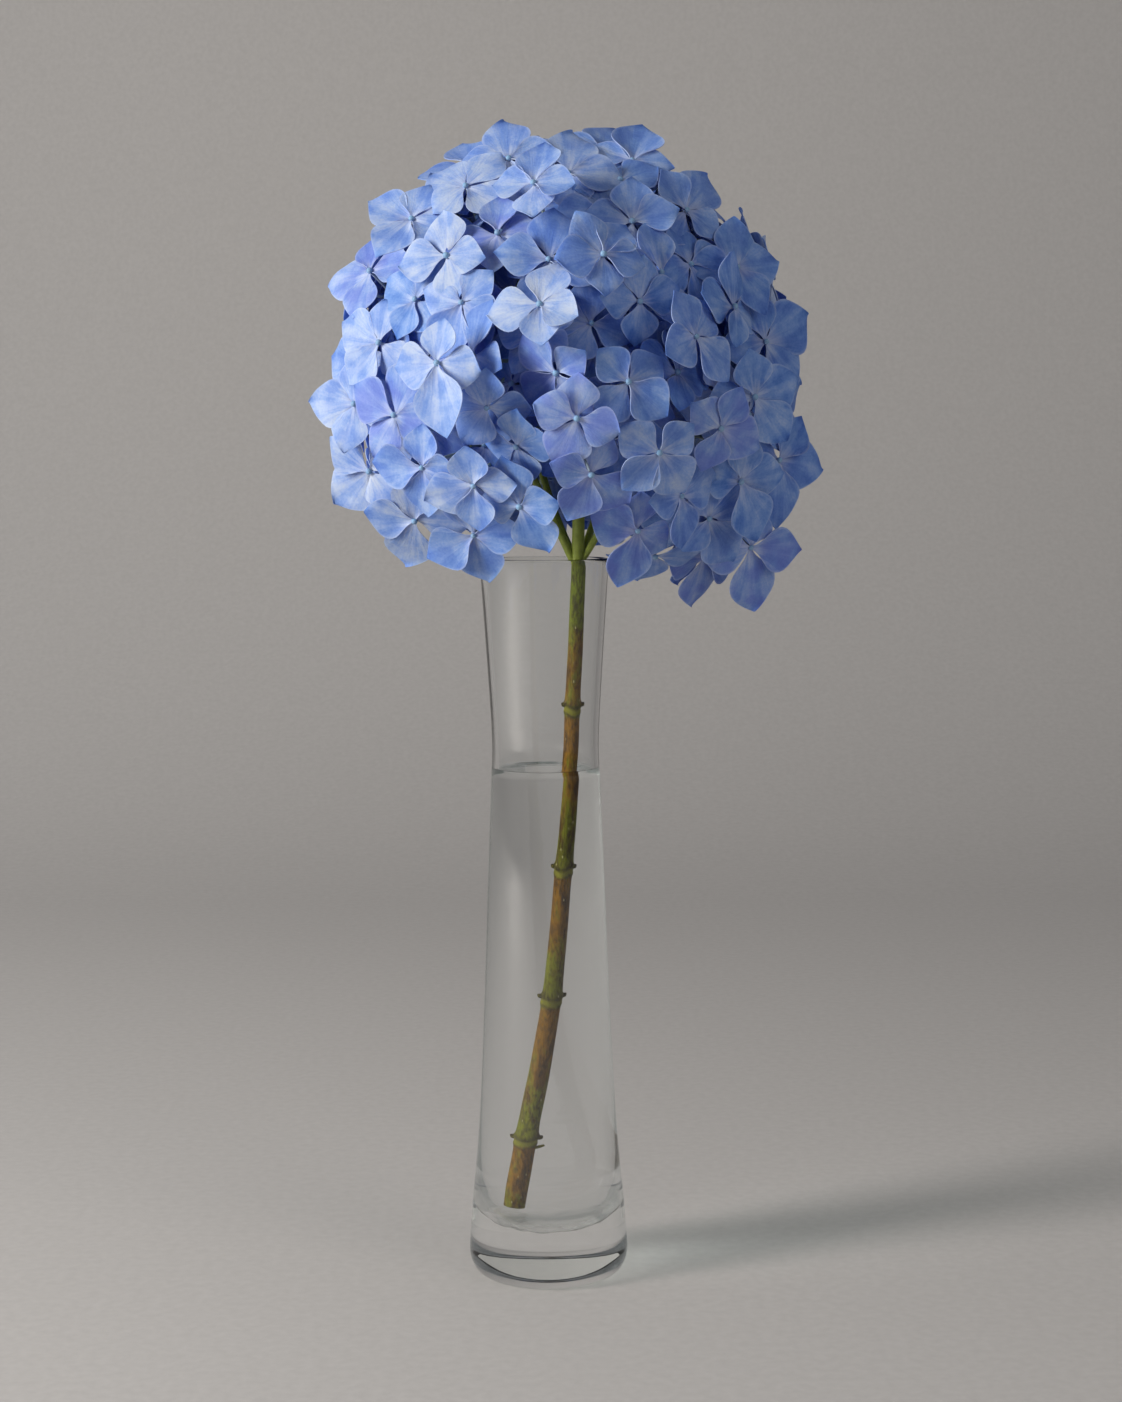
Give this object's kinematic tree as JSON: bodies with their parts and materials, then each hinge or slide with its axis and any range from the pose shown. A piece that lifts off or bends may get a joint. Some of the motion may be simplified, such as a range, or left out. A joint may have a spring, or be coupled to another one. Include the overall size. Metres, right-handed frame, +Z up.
{
  "type": "hydrangea in a vase",
  "caption": "Blue mophead hydrangea on a cut woody stem, standing in a tall slim clear glass vase of water with a thick flared foot.",
  "frame": {"origin": "centre of the vase's flat foot, on the surface that the vase stands on", "axes": "+Z up along the vase's axis, the stem leaning towards +X and -Y; the picture is taken from -Y"},
  "size_m": [0.1764, 0.1779, 0.4007],
  "materials": {
    "vase_glass": "polished",
    "water": "polished",
    "stem_bark": "matte",
    "sepal_blue": "satin"
  },
  "bodies": {
    "root": {"vase": "vase_glass", "water": "water", "stem": "stem_bark", "bloom": "sepal_blue"}
  },
  "joints": []
}
